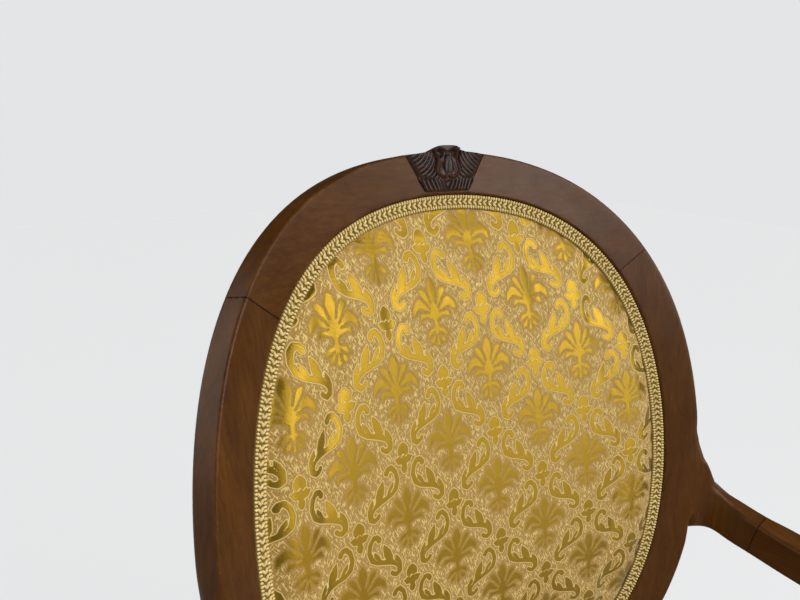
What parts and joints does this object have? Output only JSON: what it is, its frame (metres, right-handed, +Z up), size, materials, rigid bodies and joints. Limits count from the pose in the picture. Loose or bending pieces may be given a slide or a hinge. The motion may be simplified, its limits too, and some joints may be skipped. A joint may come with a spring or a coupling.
{
  "type": "art nouveau armchair",
  "caption": "Open armchair with an oval padded back in a curved wooden surround, a carved flower on the crest, shaped arms and legs, and a sprung seat in figured cloth.",
  "frame": {"origin": "on the floor, under the middle of the chair", "axes": "+Z up, -Y is the front of the chair, +X is right as seen from the front"},
  "size_m": [0.621, 0.6129, 1.0174],
  "materials": {
    "walnut": "satin polish",
    "carved_walnut": "dark polish",
    "beech": "bare",
    "steel": "dull",
    "damask": "satin damask",
    "gimp": "braided",
    "jute": "coarse weave",
    "stuffing": "fibre",
    "dust_cloth": "plain weave",
    "back_cloth": "satin weave"
  },
  "bodies": {
    "chair_frame": {"arm_dowels": "beech", "arm_post_screws": "steel", "back_cover": "damask", "back_gimp": "gimp", "back_hessian": "jute", "back_stuffing": "stuffing", "back_webbing": "jute", "corner_block_screws": "steel", "crest_carving": "carved_walnut", "crest_rail": "walnut", "dust_cover": "dust_cloth", "dust_cover_tacks": "steel", "foot_glides": "steel", "front_seat_rail": "walnut", "left_arm": "walnut", "left_arm_post": "walnut", "left_back_stile": "walnut", "left_front_corner_block": "beech", "left_front_leg": "walnut", "left_rear_corner_block": "beech", "left_rear_leg": "walnut", "left_seat_rail": "walnut", "lower_back_rail": "walnut", "outside_back_cover": "back_cloth", "outside_back_gimp": "gimp", "rear_leg_dowels": "beech", "rear_seat_rail": "walnut", "right_arm": "walnut", "right_arm_post": "walnut", "right_back_stile": "walnut", "right_front_corner_block": "beech", "right_front_leg": "walnut", "right_rear_corner_block": "beech", "right_rear_leg": "walnut", "right_seat_rail": "walnut", "ring_dowels": "beech", "seat_edge_roll": "stuffing", "seat_gimp": "gimp", "seat_rail_dowels": "beech", "seat_webbing": "jute"},
    "sprung_seat": {"seat_cover": "damask", "seat_hessian": "jute", "seat_springs": "steel", "seat_stuffing": "stuffing", "seat_wadding": "stuffing", "spring_lashing": "jute"}
  },
  "joints": [
    {"name": "seat_sink", "type": "slide", "parent": "chair_frame", "child": "sprung_seat", "axis": [0, 0, 1], "range_m": [-0.03, 0], "stiffness_N_per_m": 20000, "deforming": ["seat_springs", "spring_lashing", "seat_hessian", "seat_wadding", "seat_cover"]}
  ]
}
